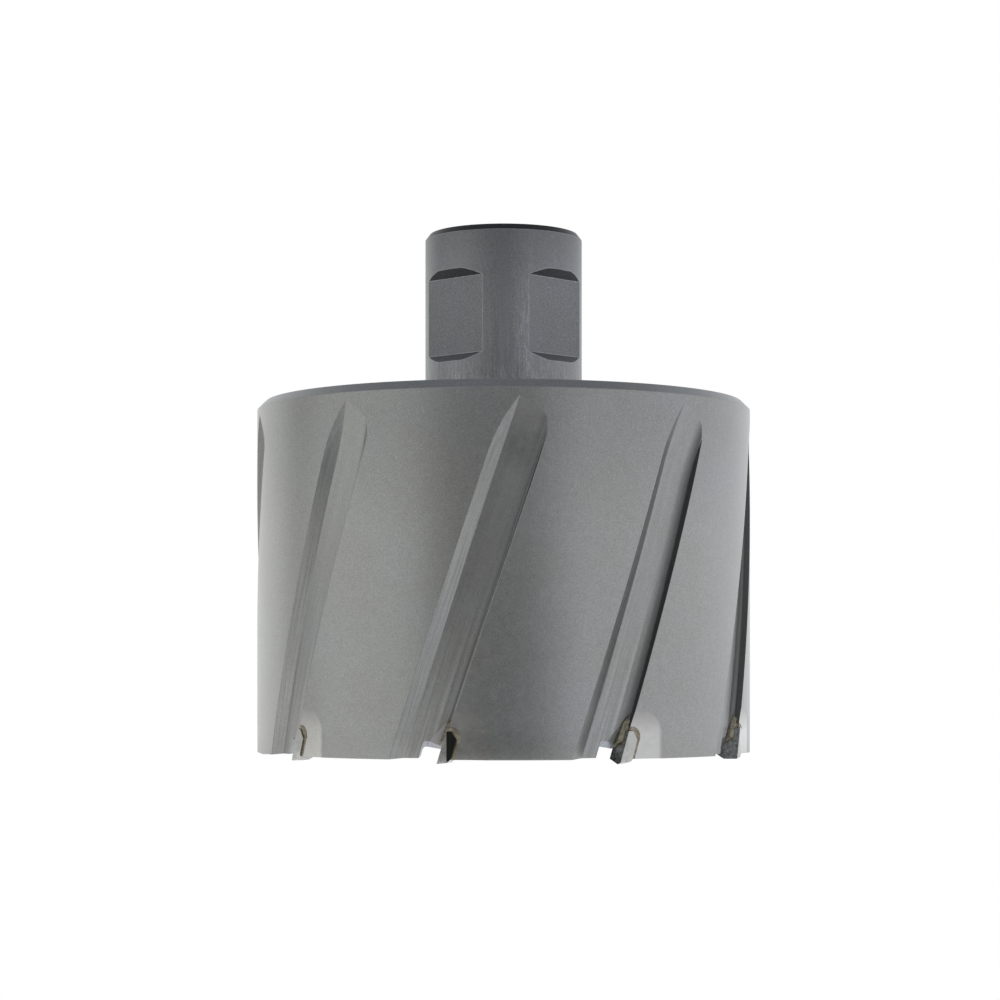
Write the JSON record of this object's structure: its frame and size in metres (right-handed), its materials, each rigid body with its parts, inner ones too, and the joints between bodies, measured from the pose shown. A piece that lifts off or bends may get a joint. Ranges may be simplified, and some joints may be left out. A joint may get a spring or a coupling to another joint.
{
  "type": "annular cutter",
  "caption": "Carbide-tipped annular cutter: a hollow steel cup with helical flutes, brazed tips round its mouth and a round shank with drive flats and a pilot bore.",
  "frame": {"origin": "on the tool's axis, at the height of the lowest tip points", "axes": "+Z along the tool's axis, from the mouth towards the end of the shank"},
  "size_m": [0.0998, 0.0996, 0.1055],
  "materials": {
    "steel": "fine blasted, satin",
    "carbide": "ground, fine grained",
    "braze": "dull, as brazed"
  },
  "bodies": {
    "root": {"cutter_body": "steel", "drive_shank": "steel", "carbide_tip_1": "carbide", "carbide_tip_2": "carbide", "carbide_tip_3": "carbide", "carbide_tip_4": "carbide", "carbide_tip_5": "carbide", "carbide_tip_6": "carbide", "carbide_tip_7": "carbide", "carbide_tip_8": "carbide", "carbide_tip_9": "carbide", "braze_seam_1": "braze", "braze_seam_2": "braze", "braze_seam_3": "braze", "braze_seam_4": "braze", "braze_seam_5": "braze", "braze_seam_6": "braze", "braze_seam_7": "braze", "braze_seam_8": "braze", "braze_seam_9": "braze"}
  },
  "joints": []
}
